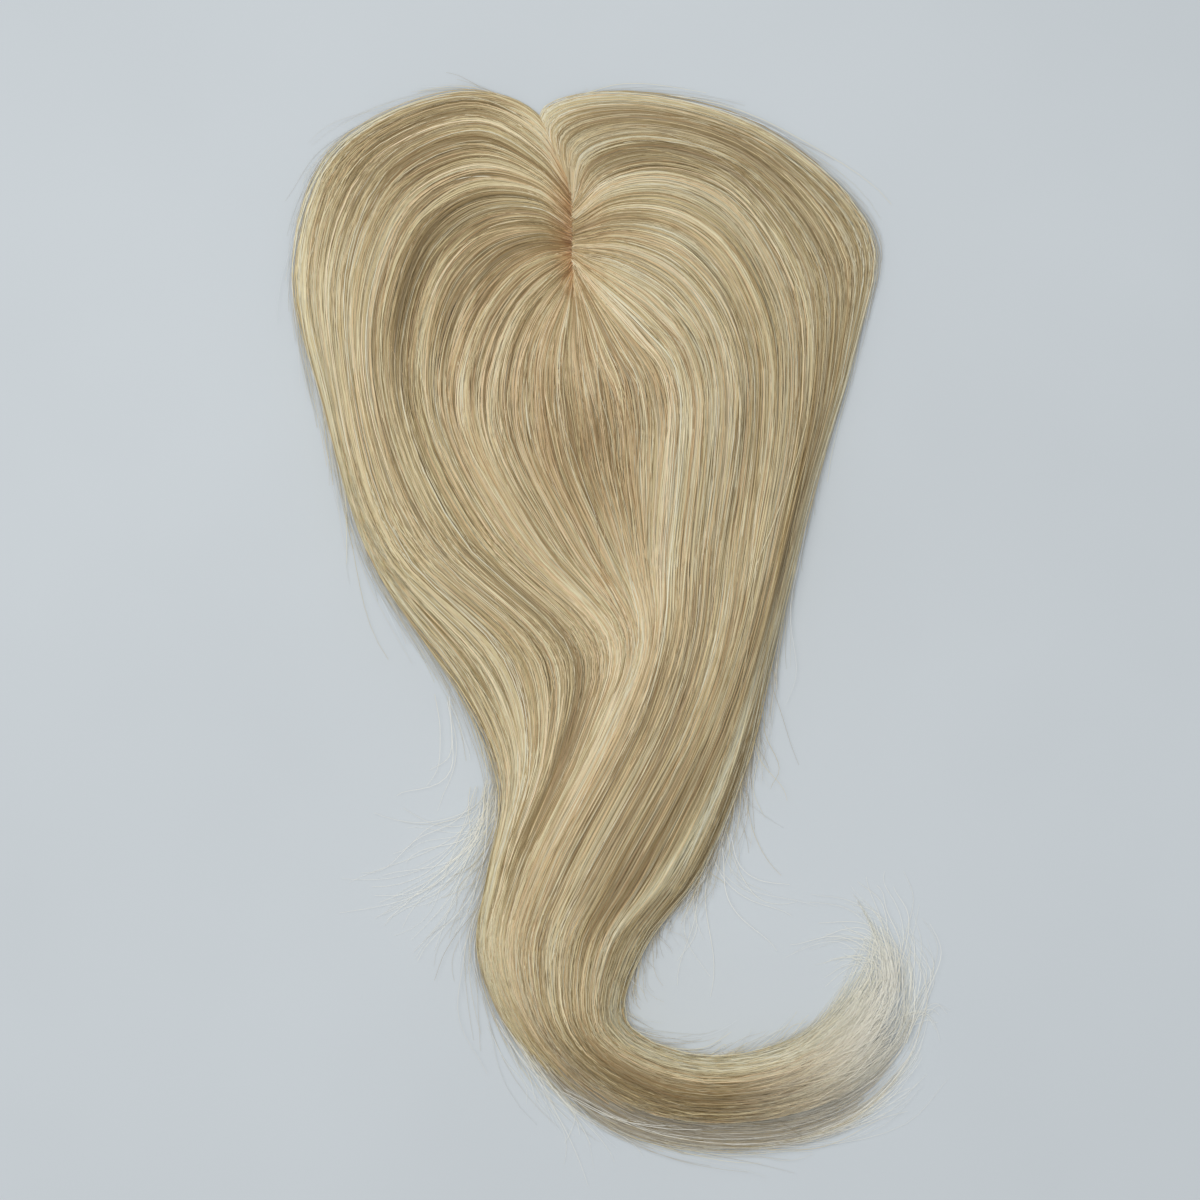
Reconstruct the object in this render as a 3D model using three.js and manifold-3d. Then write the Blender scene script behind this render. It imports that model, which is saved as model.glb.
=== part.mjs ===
// Hair topper of long blonde hair, lying on a table as it is shown in a shop: a domed skin-coloured base,
// four snap clips under its rim, and eight locks of hair. The locks leave the parting, cover the base and
// gather into one tail that curls round to the right.
// Millimetres, +Z up. The plan is drawn from the whorl, where the parting ends: +X is the wearer's right
// side, seen from above with the forehead at the top, and +Y points to the forehead.
import * as THREE from "three";
import { mergeVertices } from "three/addons/utils/BufferGeometryUtils.js";
import Module from "manifold-3d";

const wasm = await Module();
wasm.setup();

// Driving sizes

const BASE = { halfWidth: 66, halfLength: 70, centreY: -22, height: 28, wall: 1.2 };
const DOME_RINGS = 7;
const DOME_SPOKES = 40;
const HAIR_TO_BASE_GAP = 0.5;
const KEEP_OUT_FOOT = -1;

const CLIP = { length: 32, width: 10, noseRadius: 3, thickness: 1.6, rimShare: 0.76, gap: 0.35 };

const LOCK_GAP = 0.5;
const THINNEST_HAIR = 1;
const LOCK_RIDGE = 0.12; // share of the hair's thickness by which a lock's middle stands above its edges
const SWELL = { spread: 1.15, power: 1.3 }; // how far the dome shows through the hair that lies on it
const STEPS_ALONG = 64;
const STEPS_ACROSS = 4;
const SMOOTHNESS = 0.06; // how far a facet of the hair may stray from the combed surface

// Lines of the combed hair in plan, from the left edge round the back of the head to the right edge. A row
// is one line, each column is a place along it as [x, y], and depth is the line's share of the thickness.
const LINES = [
  {
    name: "edge_left", depth: 0.25, root: [-2.5, 34], lift: [-15, 57], sweep: [-38, 69], turn: [-85, 48],
    side: [-98, 7], fall: [-90, -38], waist: [-71, -91], swing: [-39, -140], bend: [-30, -172],
  },
  {
    name: "fringe_left", depth: 0.85, root: [-2, 30], lift: [-11, 43], sweep: [-33, 56], turn: [-66, 43],
    side: [-82, 10], fall: [-83, -33], waist: [-65, -88], swing: [-26, -129], bend: [-16, -162],
  },
  {
    name: "side_left", depth: 1, root: [-2, 22], lift: [-12, 31], sweep: [-33, 33], turn: [-52, 21],
    side: [-63, -7], fall: [-63, -41], waist: [-45, -85], swing: [-3, -126], bend: [0, -157],
  },
  {
    name: "crown_left", depth: 0.9, root: [-2, 11], lift: [-9, 10], sweep: [-21, 3], turn: [-32, -12],
    side: [-38, -33], fall: [-36, -52], waist: [-16, -88], swing: [20, -122], bend: [13, -155],
  },
  {
    name: "nape", depth: 0.8, root: [-0.5, -3], lift: [-1, -11], sweep: [-2, -21], turn: [-2, -33],
    side: [0, -47], fall: [5, -64], waist: [18, -90], swing: [27, -121], bend: [21, -152],
  },
  {
    name: "crown_right", depth: 1, root: [1, 2], lift: [9, -6], sweep: [20, -17], turn: [29, -29],
    side: [32, -43], fall: [31, -62], waist: [29, -91], swing: [32, -121], bend: [28, -150],
  },
  {
    name: "side_right", depth: 1.1, root: [0.5, 14], lift: [14, 16], sweep: [33, 10], turn: [47, -5],
    side: [55, -26], fall: [56, -48], waist: [51, -88], swing: [42, -126], bend: [34, -154],
  },
  {
    name: "fringe_right", depth: 0.9, root: [0, 26], lift: [8, 38], sweep: [28, 44], turn: [55, 35],
    side: [78, 0], fall: [80, -38], waist: [74, -79], swing: [63, -124], bend: [49, -159],
  },
  {
    name: "edge_right", depth: 0.25, root: [0, 34], lift: [-7, 57], sweep: [12, 69], turn: [66, 56],
    side: [105, 19], fall: [100, -18], waist: [85, -69], swing: [71, -124], bend: [60, -162],
  },
];

// Sections of the gathered tail in plan. The lines share out each section evenly from outer to inner.
const TAIL = [
  { name: "neck", outer: [-33, -201], inner: [40, -201] },
  { name: "hang", outer: [-34, -229], inner: [22, -224] },
  { name: "curl", outer: [-22, -263], inner: [22, -254] },
  { name: "under", outer: [16, -286], inner: [40, -263] },
  { name: "rise", outer: [62, -291], inner: [64, -262] },
  { name: "end", outer: [96, -283], inner: [91, -250] },
  { name: "tip", outer: [116, -262], inner: [106, -231] },
];

// Thickness of the hair at each place along the lines, over the base or over the table
const THICKNESS = {
  root: 2, lift: 5, sweep: 8, turn: 11, side: 13, fall: 16, waist: 19, swing: 20, bend: 20,
  neck: 20, hang: 19, curl: 18, under: 17, rise: 15, end: 11, tip: 4,
};

const LOCK_NAMES = [
  "lock_fringe_left", "lock_side_left", "lock_crown_left", "lock_nape_left",
  "lock_nape_right", "lock_crown_right", "lock_side_right", "lock_fringe_right",
];

const hairFinish = new THREE.MeshStandardMaterial({ color: "#d6c299", roughness: 0.5, metalness: 0 });
const baseFinish = new THREE.MeshStandardMaterial({ color: "#d8ab8d", roughness: 0.7, metalness: 0 });
const clipFinish = new THREE.MeshStandardMaterial({ color: "#c2ad85", roughness: 0.4, metalness: 0.6 });

// Solids and geometries

function solidOf(geometry) {
  const bare = geometry.clone();
  bare.deleteAttribute("normal");
  bare.deleteAttribute("uv");
  const merged = mergeVertices(bare, 1e-4);
  return new wasm.Manifold(
    new wasm.Mesh({
      numProp: 3,
      vertProperties: merged.attributes.position.array,
      triVerts: new Uint32Array(merged.index.array),
    }),
  );
}

function geometryOf(solid) {
  const mesh = solid.getMesh();
  const geometry = new THREE.BufferGeometry();
  geometry.setAttribute("position", new THREE.BufferAttribute(mesh.vertProperties, 3));
  geometry.setIndex(new THREE.BufferAttribute(mesh.triVerts, 1));
  geometry.computeVertexNormals();
  return geometry;
}

// The base: a thin elliptical dome, open underneath

// Square of the distance from the dome's axis, 1 at its rim
function rimShareSquared(x, y) {
  return (x / BASE.halfWidth) ** 2 + ((y - BASE.centreY) / BASE.halfLength) ** 2;
}

function domeProfile(lift, grow) {
  const points = [];
  for (let ring = 0; ring <= DOME_RINGS; ring += 1) {
    const share = ring / DOME_RINGS;
    points.push(new THREE.Vector2(share * grow, BASE.height * (1 - share ** 2) + lift));
  }
  return points;
}

function domeOf(profile) {
  const dome = new THREE.LatheGeometry(profile, DOME_SPOKES);
  dome.rotateX(Math.PI / 2);
  dome.scale(BASE.halfWidth, BASE.halfLength, 1);
  dome.translate(0, BASE.centreY, 0);
  return dome;
}

function baseGeometry() {
  const innerRim = Math.sqrt(1 - BASE.wall / BASE.height);
  const outside = domeProfile(0, 1);
  const inside = [];
  for (let ring = 0; ring <= DOME_RINGS; ring += 1) {
    const share = (ring / DOME_RINGS) * innerRim;
    inside.push(new THREE.Vector2(share, BASE.height * (1 - share ** 2) - BASE.wall));
  }
  return domeOf([...inside, ...outside.reverse()]);
}

// The room that the base and its gap take out of the hair
function baseRoom() {
  const grow = 1 + HAIR_TO_BASE_GAP / BASE.halfWidth;
  const surface = domeProfile(HAIR_TO_BASE_GAP, grow);
  const foot = [new THREE.Vector2(0, KEEP_OUT_FOOT), new THREE.Vector2(grow, KEEP_OUT_FOOT)];
  return solidOf(domeOf([...foot, ...surface.reverse()]));
}

// The clips: flat bars with rounded noses, lying along the rim under the base

function clipOutline() {
  const x = CLIP.length / 2;
  const y = CLIP.width / 2;
  const r = CLIP.noseRadius;
  const outline = new THREE.Shape();
  outline.moveTo(-x + r, -y);
  outline.lineTo(x - r, -y);
  outline.absarc(x - r, -y + r, r, -Math.PI / 2, 0);
  outline.lineTo(x, y - r);
  outline.absarc(x - r, y - r, r, 0, Math.PI / 2);
  outline.lineTo(-x + r, y);
  outline.absarc(-x + r, y - r, r, Math.PI / 2, Math.PI);
  outline.lineTo(-x, -y + r);
  outline.absarc(-x + r, -y + r, r, Math.PI, 1.5 * Math.PI);
  return outline;
}

// A clip at a turn about the dome's axis. A half turn apart, the clips face each other.
function clip(name, turn, reach, breadth) {
  const plate = new THREE.ExtrudeGeometry(clipOutline(), {
    depth: CLIP.thickness, bevelEnabled: false, curveSegments: 4,
  });
  plate.translate(0, 0, -CLIP.thickness);
  const sagAlong = BASE.height * (CLIP.length / 2 / breadth) ** 2;
  const sagAcross = BASE.height * (CLIP.width / 2 / reach) ** 2;
  const slope = Math.atan((2 * BASE.height * CLIP.rimShare) / reach);
  const underside = BASE.height * (1 - CLIP.rimShare ** 2) - BASE.wall;
  const mesh = new THREE.Mesh(plate, clipFinish);
  mesh.name = name;
  mesh.position.set(0, reach * CLIP.rimShare, underside - sagAlong - sagAcross - CLIP.gap);
  mesh.rotation.x = -slope;
  const seat = new THREE.Group();
  seat.position.set(0, BASE.centreY, 0);
  seat.rotation.z = turn;
  seat.add(mesh);
  return seat;
}

// The hair: locks between neighbouring lines, from the table or the base up to the combed surface

// A line's curve. Its x and y are the plan, and its z is the hair's thickness there.
function lineCurve(line, index) {
  const lane = index / (LINES.length - 1);
  const thick = (place) => Math.max(THINNEST_HAIR, THICKNESS[place] * line.depth);
  const crownPlaces = Object.keys(THICKNESS).filter((place) => place in line);
  const crown = crownPlaces.map((place) => new THREE.Vector3(...line[place], thick(place)));
  const tail = TAIL.map(({ name, outer, inner }) => {
    const across = new THREE.Vector2(...outer).lerp(new THREE.Vector2(...inner), lane);
    return new THREE.Vector3(across.x, across.y, thick(name));
  });
  return new THREE.CatmullRomCurve3([...crown, ...tail]);
}

const lineCurves = LINES.map(lineCurve);

// How high the dome still lifts the hair at a place in plan
function swell(x, y) {
  const inside = Math.max(0, 1 - rimShareSquared(x, y) / SWELL.spread ** 2);
  return BASE.height * inside ** SWELL.power;
}

// One cross row of a lock's upper surface, drawn in by half the gap at both ends
function crossRow(lock, along) {
  const section = new THREE.CatmullRomCurve3(lineCurves.map((curve) => curve.getPoint(along)));
  const row = [];
  for (let step = 0; step <= STEPS_ACROSS; step += 1) {
    const share = step / STEPS_ACROSS;
    const point = section.getPoint((lock + share) / LOCK_NAMES.length);
    const ridge = 1 - (2 * share - 1) ** 2;
    const thickness = point.z * (1 + LOCK_RIDGE * (ridge - 1));
    point.z = swell(point.x, point.y) + HAIR_TO_BASE_GAP + thickness;
    row.push(point);
  }
  const span = new THREE.Vector3().subVectors(row.at(-1), row[0]).setZ(0).setLength(LOCK_GAP / 2);
  row[0].add(span);
  row.at(-1).sub(span);
  return row;
}

function lockGeometry(lock) {
  const positions = [];
  const columns = STEPS_ACROSS + 1;
  for (let step = 0; step <= STEPS_ALONG; step += 1) {
    crossRow(lock, step / STEPS_ALONG).forEach(({ x, y, z }) => positions.push(x, y, z, x, y, 0));
  }
  const top = (row, column) => 2 * (row * columns + column);
  const foot = (row, column) => top(row, column) + 1;
  const faces = [];
  const quad = (a, b, c, d) => faces.push(a, b, c, a, c, d);
  for (let row = 0; row < STEPS_ALONG; row += 1) {
    const next = row + 1;
    for (let column = 0; column < STEPS_ACROSS; column += 1) {
      const beside = column + 1;
      quad(top(row, column), top(next, column), top(next, beside), top(row, beside));
      quad(foot(row, column), foot(row, beside), foot(next, beside), foot(next, column));
    }
    quad(top(row, 0), foot(row, 0), foot(next, 0), top(next, 0));
    quad(top(next, STEPS_ACROSS), foot(next, STEPS_ACROSS), foot(row, STEPS_ACROSS), top(row, STEPS_ACROSS));
  }
  for (let column = 0; column < STEPS_ACROSS; column += 1) {
    const beside = column + 1;
    const last = STEPS_ALONG;
    quad(top(0, column), top(0, beside), foot(0, beside), foot(0, column));
    quad(top(last, beside), top(last, column), foot(last, column), foot(last, beside));
  }
  const geometry = new THREE.BufferGeometry();
  geometry.setAttribute("position", new THREE.Float32BufferAttribute(positions, 3));
  geometry.setIndex(faces);
  return geometry;
}

// Assembly

const topper = new THREE.Group();

const base = new THREE.Mesh(baseGeometry(), baseFinish);
base.name = "base";
topper.add(base);

topper.add(clip("clip_front", 0, BASE.halfLength, BASE.halfWidth));
topper.add(clip("clip_left", Math.PI / 2, BASE.halfWidth, BASE.halfLength));
topper.add(clip("clip_back", Math.PI, BASE.halfLength, BASE.halfWidth));
topper.add(clip("clip_right", -Math.PI / 2, BASE.halfWidth, BASE.halfLength));

const room = baseRoom();
LOCK_NAMES.forEach((name, index) => {
  const lock = solidOf(lockGeometry(index)).subtract(room).simplify(SMOOTHNESS);
  const mesh = new THREE.Mesh(geometryOf(lock), hairFinish);
  mesh.name = name;
  topper.add(mesh);
});

// The frame's origin is on the table, under the middle of the whole piece.
const middle = new THREE.Box3().setFromObject(topper).getCenter(new THREE.Vector3());
topper.position.set(-middle.x, -middle.y, 0);

export default topper;
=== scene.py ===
"""Hair topper of long blonde hair on a pale table: strands, under-hair, wisps, cap, clips and stage."""

import functools
import math

import bpy
import numpy as np
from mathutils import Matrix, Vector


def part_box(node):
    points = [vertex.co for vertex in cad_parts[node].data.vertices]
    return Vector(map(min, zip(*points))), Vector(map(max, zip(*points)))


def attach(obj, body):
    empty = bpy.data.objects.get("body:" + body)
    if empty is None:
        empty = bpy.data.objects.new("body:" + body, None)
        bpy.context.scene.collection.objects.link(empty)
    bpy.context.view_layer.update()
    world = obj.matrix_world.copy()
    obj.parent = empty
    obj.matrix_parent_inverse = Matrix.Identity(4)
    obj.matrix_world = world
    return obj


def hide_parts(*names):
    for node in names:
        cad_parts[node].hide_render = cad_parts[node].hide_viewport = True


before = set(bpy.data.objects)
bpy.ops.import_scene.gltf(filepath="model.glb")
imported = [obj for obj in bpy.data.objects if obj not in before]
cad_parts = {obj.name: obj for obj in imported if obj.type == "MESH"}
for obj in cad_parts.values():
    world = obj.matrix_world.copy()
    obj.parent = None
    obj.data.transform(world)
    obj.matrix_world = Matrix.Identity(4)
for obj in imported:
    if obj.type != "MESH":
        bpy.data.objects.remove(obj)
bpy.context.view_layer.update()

bl_info = {
    "name": "Hair topper",
    "version": (1, 0, 0),
    "blender": (4, 5, 0),
    "location": "View3D > Sidebar > Topper",
    "description": "Combs the strands of a blonde hair topper over its cap and sets it on a studio table",
    "category": "Object",
}

MM = 0.001
BAKE_MAP = "OFBake"


def named_rows(columns, *rows):
    """Rows of values as a dict each, by the names of the columns."""
    names = columns.split()
    return [dict(zip(names, row)) for row in rows]


# The cap's dome in millimetres, as the part has it. Plan places count from the whorl behind the parting.
CAP = {"half_width": 66, "half_length": 70, "centre_y": -22, "height": 28}

# Gap and least thickness in millimetres, and the form of the swell that the dome makes in the hair.
HAIR_TO_CAP_GAP = 0.5
THINNEST_HAIR = 1.0
SWELL_SPREAD = 1.15
SWELL_POWER = 1.3

# Lines of the combed hair in plan, in millimetres, from the left edge round the back to the right edge.
# Depth is a share of the thickness, and tail is the share of the way across the gathered tail where a line
# lies: most of the left hair goes under at its outer side.
PLACES = ("root", "lift", "sweep", "turn", "side", "fall", "waist", "swing", "bend")
COMBED_LINES = named_rows(
    "name depth tail root lift sweep turn side fall waist swing bend",
    (
        "edge_left", 0.25, 0.0, (-1.6, 34), (-13.5, 61), (-38, 68.5), (-83, 48), (-96, 7), (-86.5, -38),
        (-70.5, -91), (-38, -140), (-25.5, -172),
    ),
    (
        "fringe_left", 0.85, 0.04, (-1.6, 30), (-11, 43), (-33, 56), (-65, 43), (-81, 10), (-80, -33),
        (-64.5, -88), (-27, -129), (-18, -162),
    ),
    (
        "side_left", 1.0, 0.10, (-1.7, 22), (-12, 31), (-33, 33), (-52, 21), (-63, -7), (-63, -41),
        (-45, -85), (-5, -126), (-7, -158),
    ),
    (
        "crown_left", 0.9, 0.17, (-1.6, 11), (-9, 10), (-21, 3), (-32, -12), (-38, -33), (-36, -52),
        (-16, -88), (13, -122), (5, -153),
    ),
    (
        "nape", 0.8, 0.23, (-0.8, 3), (-0.8, -8), (-2, -21), (-2, -33), (0, -47), (4, -64), (14, -90),
        (23, -120), (13, -149),
    ),
    (
        "crown_right", 1.0, 0.31, (-0.2, 7), (8.8, -4), (20, -17), (29, -29), (32, -43), (31, -62),
        (29, -91), (28.5, -120), (19.5, -149),
    ),
    (
        "side_right", 1.1, 0.56, (-0.2, 14), (14, 16), (33, 10), (47, -5), (55, -26), (56, -48), (51, -88),
        (47, -121), (36.5, -153),
    ),
    (
        "fringe_right", 0.9, 0.80, (-0.3, 26), (8, 38), (28, 44), (55, 35), (77, 0), (79, -38), (72, -79),
        (61, -124), (49, -159),
    ),
    (
        "edge_right", 0.25, 1.0, (-0.5, 34), (-12, 61), (13, 68), (66, 54.5), (102.3, 19), (97.3, -18),
        (82, -69), (68.3, -124), (59, -162),
    ),
)

# Sections of the gathered tail in plan.
TAIL = named_rows(
    "name outer inner",
    ("neck", (-30, -201), (43, -201)),
    ("hang", (-33.5, -229), (23.5, -226)),
    ("curl", (-18, -262), (16.5, -252)),
    ("under", (16, -290), (40, -264)),
    ("rise", (62, -296), (64, -262.5)),
    ("end", (96, -286), (91, -250)),
    ("tip", (116, -264), (106, -231)),
    ("fray", (121, -236), (98, -211)),
)

# Share of the way across the tail where its full body begins; loose hair lies outside it.
TAIL_BODY = 0.22

# Thickness of the hair in millimetres, and the ribbon segments from each place to the next.
THICKNESS = {
    "root": 2, "lift": 5, "sweep": 8, "turn": 11, "side": 13, "fall": 16, "waist": 19, "swing": 20,
    "bend": 20, "neck": 20, "hang": 19, "curl": 18, "under": 17, "rise": 15, "end": 11, "tip": 5, "fray": 3,
}
SEGMENTS = {
    "root": 3, "lift": 4, "sweep": 4, "turn": 4, "side": 3, "fall": 2, "waist": 3, "swing": 3, "bend": 2,
    "neck": 2, "hang": 3, "curl": 3, "under": 3, "rise": 2, "end": 2, "tip": 2,
}
LAST_PLACE = len(THICKNESS) - 1

# Rounded sections of the gathered hair: the depth at the sides, and how much more it is in the middle.
NECK_SECTION = {"sides": 0.25, "more": 0.85}
TAIL_SECTION = {"sides": 0.12, "more": 0.98}
SECTION_POWER = 0.6

# From and to which place the hair rises off the cap, gathers to the neck and turns into the tail.
ROOT_RISE = (-0.2, 1.3)
NECK_RUN = (5.5, 9.0)
TAIL_RUN = (9.6, 11.4)

# Streaks that run with the hair. A lane is a share of the way across, from the left edge to the right edge,
# and a streak may drift to another lane. Begin and end count the places along the hair: 0 is the root, 15 is
# the tip and 16 is the fray past it. A fold's rise is in millimetres.
FOLDS = named_rows(
    "name lane to_lane breadth rise begin end",
    ("nape_hollow", 0.52, 0.52, 0.05, -1.6, 2.5, 6.6),
    ("crown_ridge", 0.29, 0.32, 0.016, 1.2, 1.2, 5.4),
    ("inner_ridge", 0.28, 0.38, 0.016, 1.0, 1.0, 4.6),
    ("left_valley", 0.23, 0.29, 0.02, -1.2, 2.6, 5.6),
    ("right_ridge", 0.87, 0.865, 0.02, 1.2, 0.5, 4.2),
    ("right_crease", 0.89, 0.87, 0.02, -1.8, 3.7, 7.2),
)

# A streak fades at its ends by this power of a sine. Strewn folds rise in full where the hair is this wide.
STREAK_POWER = 0.8
WIDEST_HAIR = 200 * MM

# Small folds strewn over the hair: how many, and the limits or the spread of each value.
STREWN_FOLDS = {
    "seed": 77, "count": 90, "lane": (0.02, 0.98), "begin": (0.3, 10), "drift": 0.025,
    "breadth": (0.006, 0.016), "rise": 0.9, "length": (2.5, 6),
}

# Paler and darker streaks. Shade is added to a strand's own, where 0 is the darkest and 1 is the palest.
SHADES = named_rows(
    "name lane to_lane breadth shade begin end",
    # Painted light: the thin front rim by the notch is paler, for light shining through it.
    ("notch_left_painted_light", 0.02, 0.04, 0.05, 0.42, -0.2, 1.7),
    # Painted light: the thin left rim is paler, for light shining through it and for its steep turn from the
    # window.
    ("left_rim_painted_light", 0.0, 0.0, 0.022, 0.9, 0.4, 4.4),
    # Painted shade: the front left hair is darker where it turns away from the light's sheen.
    ("fringe_painted_shade", 0.06, 0.1, 0.07, -0.46, 0.9, 4.4),
    ("fringe_low", 0.17, 0.19, 0.03, -0.36, 1.8, 3.2),
    # Painted light: this row and the next make the left side paler where it faces the window.
    ("left_cream_painted_light", 0.06, 0.06, 0.05, 0.38, 3.4, 6.6),
    ("left_edge_painted_light", 0.0, 0.0, 0.04, 0.45, 3.0, 7.4),
    ("outer_line", 0.135, 0.135, 0.014, 0.34, 0.8, 2.8),
    ("left_gold", 0.145, 0.18, 0.03, 0.3, 3.0, 6.8),
    ("outer_streak", 0.2, 0.22, 0.008, 0.34, 1.8, 5.4),
    ("left_mid", 0.18, 0.19, 0.02, -0.24, 4.6, 7.4),
    ("left_low", 0.13, 0.14, 0.02, 0.2, 5.6, 8.4),
    ("left_shade", 0.255, 0.275, 0.035, -0.52, 0.8, 5.4),
    ("crown_streak", 0.295, 0.32, 0.007, 0.42, 2.2, 5.6),
    ("crown_shade", 0.31, 0.35, 0.03, -0.34, 0.4, 4.2),
    ("inner_streak", 0.33, 0.38, 0.009, 0.36, 1.8, 4.8),
    ("inner_line", 0.38, 0.39, 0.012, -0.36, 0.6, 4.4),
    ("inner_shade", 0.4, 0.42, 0.04, -0.16, 0.2, 3.4),
    ("parting_shade", 0.34, 0.34, 0.12, -0.36, -1.4, 1.5),
    ("nape_shade", 0.51, 0.5, 0.07, -0.36, -1.2, 3.2),
    # Painted shade in the hollow of the dip behind the whorl.
    ("dip_painted_shade", 0.5, 0.52, 0.07, -0.38, 2.6, 5.8),
    ("whorl_light", 0.66, 0.66, 0.045, 0.04, 0.0, 3.4),
    ("root_shade", 0.76, 0.77, 0.07, -0.3, -1.2, 1.7),
    ("arc_mid", 0.77, 0.78, 0.02, 0.18, 1.2, 3.6),
    ("right_arc", 0.855, 0.81, 0.024, 0.22, 0.2, 3.6),
    # Painted shade: the right side is darker where it turns away from the window.
    ("right_painted_shade", 0.89, 0.9, 0.034, -0.54, 0.5, 3.4),
    ("right_gleam", 0.93, 0.935, 0.01, 0.1, 0.8, 2.6),
    # Painted shade: darker just inside the right rim, which turns away from the window.
    ("right_rim_painted_shade", 0.955, 0.95, 0.02, -0.56, 0.4, 3.6),
    # Painted light: this row and the next make the thin front rims on the right paler, for light shining
    # through them.
    ("notch_right_painted_light", 0.99, 0.99, 0.03, 0.38, -0.4, 1.6),
    ("front_right", 1.0, 1.0, 0.016, 0.36, 0.2, 4.4),
    ("right_line", 0.925, 0.92, 0.016, -0.26, 2.6, 5.2),
    # Painted shade: this row and the next darken the right side where it turns away from the window.
    ("right_side_painted_shade", 0.955, 0.955, 0.05, -0.22, 2.6, 5.4),
    ("right_dark_painted_shade", 0.915, 0.905, 0.035, -0.48, 4.4, 7.6),
    ("right_fray", 1.0, 1.0, 0.025, 0.36, 4.0, 8.2),
    ("roll_mid", 0.645, 0.6, 0.04, 0.36, 3.6, 7.0),
    ("roll_light", 0.56, 0.46, 0.08, 0.28, 5.8, 9.0),
    ("roll_left", 0.36, 0.38, 0.04, 0.22, 5.0, 8.6),
    # Painted shade in the crevices beside the roll, in this row and the next.
    ("roll_edge_painted_shade", 0.645, 0.645, 0.03, -0.48, 6.4, 10.0),
    ("fall_painted_shade", 0.705, 0.72, 0.02, -0.5, 5.8, 9.6),
    ("fall_streak", 0.765, 0.755, 0.018, 0.18, 5.6, 8.6),
    ("fall_low", 0.76, 0.77, 0.02, -0.3, 7.6, 10.4),
    # Painted shade in a crease of the fall.
    ("fall_crease_painted_shade", 0.84, 0.8, 0.03, -0.52, 7.8, 10.2),
    ("neck_inner", 0.88, 0.9, 0.04, -0.3, 8.6, 11.0),
    ("right_low", 0.865, 0.87, 0.02, -0.4, 6.4, 9.2),
    # Painted highlight on the inner edge of the fall, which faces the light.
    ("inner_painted_highlight", 0.92, 0.945, 0.018, 0.72, 6.6, 9.2),
    ("inner_grey", 0.95, 0.98, 0.05, -0.28, 6.8, 10.4),
    # Painted highlight on the inner edge of the crook, which faces the light.
    ("inner_turn_painted_highlight", 0.945, 0.835, 0.02, 0.8, 8.0, 10.4),
    # Painted shade in the creases of the left fall, in this row and the next.
    ("crease_painted_shade", 0.26, 0.3, 0.028, -0.44, 5.6, 8.8),
    ("crease_low_painted_shade", 0.34, 0.22, 0.06, -0.52, 7.4, 9.3),
    ("outer_cream", 0.04, 0.1, 0.12, 0.58, 7.1, 11.6),
    ("neck_light", 0.3, 0.45, 0.15, 0.36, 9.4, 11.0),
    # Painted shadow: the outer side of the tail is greyer and darker, as if in the tail's shadow.
    ("outer_painted_shadow", 0.3, 0.3, 0.3, -0.4, 10.4, 14.4),
    ("tail_core", 0.74, 0.76, 0.09, -0.66, 10.6, 13.7),
    # Painted highlight on the tail's upper inner edge, which faces the light.
    ("tail_rim_painted_highlight", 0.97, 0.97, 0.07, 0.56, 9.8, 16.0),
)

# Casts of blonde: how each one tints the three tones, and where across the hair it gathers.
CASTS = named_rows(
    "name tint common lane breadth gathers",
    ("ash", (0.97, 1.02, 1.12), 0.30, 0.97, 0.08, 0.8),
    ("gold", (1.0, 1.0, 0.96), 0.50, 0.15, 0.15, 0.4),
    ("peach", (1.06, 0.97, 0.93), 0.20, 0.5, 0.12, 0.9),
    # Painted light and shade: the silver cast, used only on loose hairs, paints near-white sheen on pale
    # ones and blue-grey shadow on dark ones.
    ("silver_sheen_and_shade", (0.88, 1.02, 1.5), 0.0, 0.0, 1.0, 0.0),
)
ASH, SILVER_SHEEN_AND_SHADE = ([row["name"] for row in CASTS].index(name) for name in ("ash", "silver_sheen_and_shade"))

# Shades stay off the borders between the casts on the bake map.
SHADE_LIMITS = (0.03, 0.97)

# Loose hairs that leave the hair at a lane, or up to spread to the right of it, or to the left where spread
# is below 0. Begin and end are the places where they start, run is how many places they follow the hair for,
# reach is how far out they end, in millimetres, and palest is the shade of the palest of them.
EDGE_WISPS = named_rows(
    "name lane spread begin end run reach palest count",
    ("front_left", 0, 0, 1.0, 4.2, 1.9, 3.0, 1.0, 210),
    ("side_left", 0, 0, 4.0, 6.8, 2.1, 4.5, 1.0, 200),
    ("neck_left", 0, 0, 7.0, 9.3, 1.7, 7.0, 1.0, 110),
    ("tail_outer", 0, 0, 9.6, 13.6, 1.8, 4.0, 1.0, 110),
    # Partly painted shadow: these loose hairs are real, but their darker greys paint the tail's shadow on
    # the table under them.
    ("tail_veil", 0, 0.62, 9.6, 12.8, 1.8, 1.6, 0.5, 420),
    # Painted shadow: dark grey hairs laid where the tail's shadow falls on the table.
    ("tail_painted_shadow", 0, 0.62, 10.2, 12.9, 1.3, 1.2, 0.28, 440),
    ("front_right", 1, 0, 1.0, 4.0, 1.8, 2.6, 1.0, 170),
    ("side_right", 1, 0, 4.0, 7.4, 1.8, 3.0, 1.0, 150),
    ("ends_right", 1, 0, 7.4, 9.6, 1.3, 8.0, 1.0, 110),
    ("tail_inner", 1, 0, 9.8, 13.4, 1.0, 3.6, 1.0, 260),
    ("tail_seam", 0.5, 0.18, 11.2, 13.4, 1.6, 3.0, 0.6, 170),
    ("neck_inner", 1, -0.012, 7.0, 9.8, 0.8, 4.6, 0.45, 280),
)

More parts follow.
